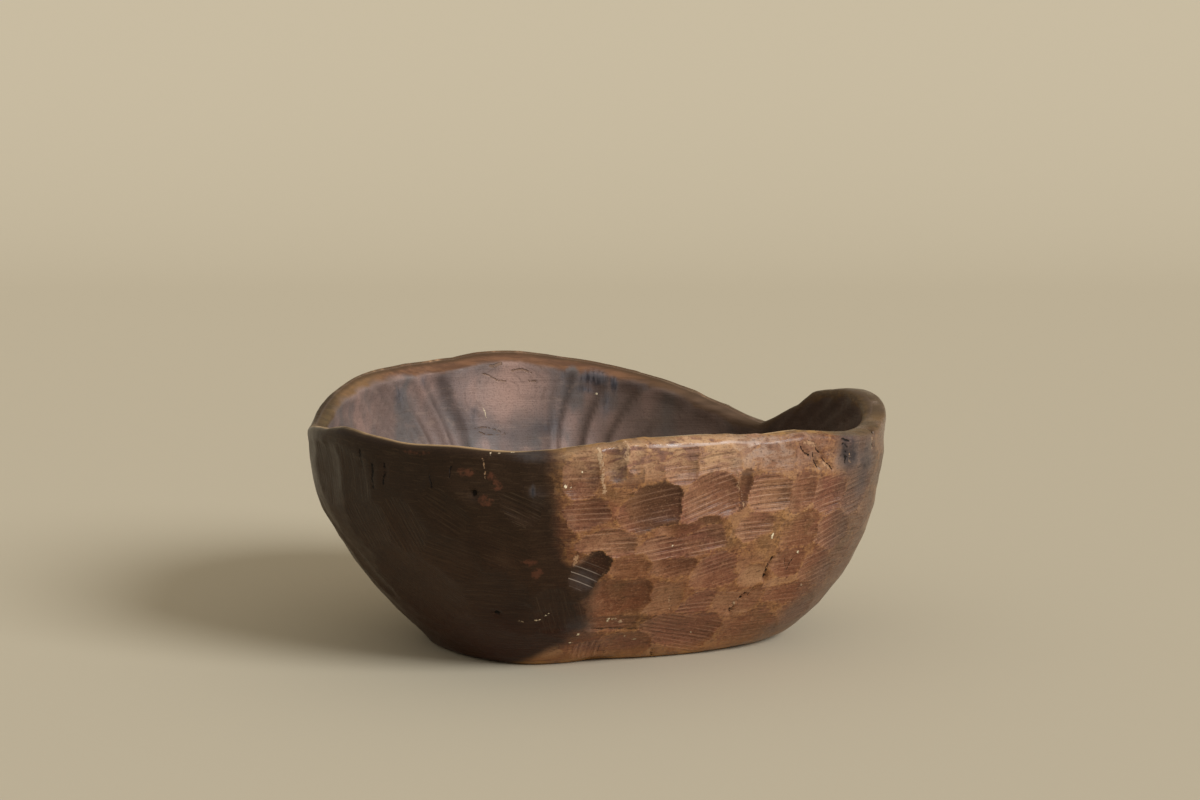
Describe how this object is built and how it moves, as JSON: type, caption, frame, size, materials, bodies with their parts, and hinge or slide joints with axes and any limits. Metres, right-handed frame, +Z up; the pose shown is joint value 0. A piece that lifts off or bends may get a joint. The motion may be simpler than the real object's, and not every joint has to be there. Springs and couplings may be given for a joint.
{
  "type": "wooden bowl",
  "caption": "Hand-hewn wooden bowl: a lopsided oval dug out of solid wood, with a high wavy rim, a low saddle in the rim and a flat oval foot.",
  "frame": {"origin": "in the plane of the foot, under the middle of the bowl's outline", "axes": "+X along the bowl towards the end with the small lobe, +Z up out of the bowl's mouth, front towards -Y"},
  "size_m": [0.229, 0.1888, 0.1014],
  "materials": {
    "bowl_wood": "satin, oiled and worn"
  },
  "bodies": {
    "root": {"bowl": "bowl_wood"}
  },
  "joints": []
}
